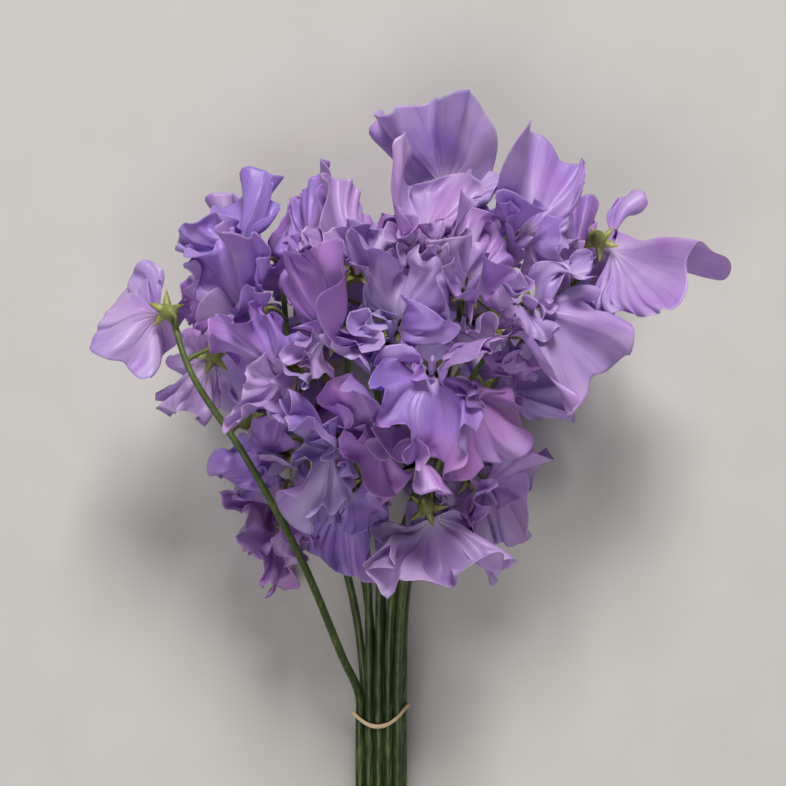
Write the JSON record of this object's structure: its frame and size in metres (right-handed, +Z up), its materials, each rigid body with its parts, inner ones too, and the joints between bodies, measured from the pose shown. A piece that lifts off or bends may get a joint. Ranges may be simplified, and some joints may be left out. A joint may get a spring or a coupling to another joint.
{
  "type": "tied bunch of sweet pea flower stems",
  "caption": "Cut bunch of sweet pea stems with ruffled violet blooms on short green stalks, held by a rubber band and lying on its back.",
  "frame": {"origin": "middle of the bunch's box, on the surface that the bunch lies on", "axes": "+Y along the stems towards the flowers, +X to the right seen from above, +Z up"},
  "size_m": [0.2547, 0.3821, 0.1371],
  "materials": {
    "petal": "soft matte petal, thin and slightly translucent",
    "stem": "waxy green plant stem",
    "band": "natural tan rubber"
  },
  "bodies": {
    "root": {"bloom_01_1": "petal", "bloom_01_2": "petal", "bloom_01_3": "petal", "bloom_01_4": "petal", "bloom_02_1": "petal", "bloom_02_2": "petal", "bloom_02_3": "petal", "bloom_02_4": "petal", "bloom_03_1": "petal", "bloom_03_2": "petal", "bloom_03_3": "petal", "bloom_03_4": "petal", "bloom_03_5": "petal", "bloom_04_1": "petal", "bloom_04_2": "petal", "bloom_04_3": "petal", "bloom_04_4": "petal", "bloom_05_1": "petal", "bloom_05_2": "petal", "bloom_05_3": "petal", "bloom_05_4": "petal", "bloom_06_1": "petal", "bloom_06_2": "petal", "bloom_06_3": "petal", "bloom_07_1": "petal", "bloom_07_2": "petal", "bloom_07_3": "petal", "bloom_08_1": "petal", "bloom_08_2": "petal", "bloom_08_3": "petal", "bloom_08_4": "petal", "bloom_09_1": "petal", "bloom_09_2": "petal", "bloom_09_3": "petal", "bloom_09_4": "petal", "bloom_10_1": "petal", "bloom_10_2": "petal", "bloom_10_3": "petal", "bloom_10_4": "petal", "rubber_band": "band", "stem_01": "stem", "stem_02": "stem", "stem_03": "stem", "stem_04": "stem", "stem_05": "stem", "stem_06": "stem", "stem_07": "stem", "stem_08": "stem", "stem_09": "stem", "stem_10": "stem"}
  },
  "joints": []
}
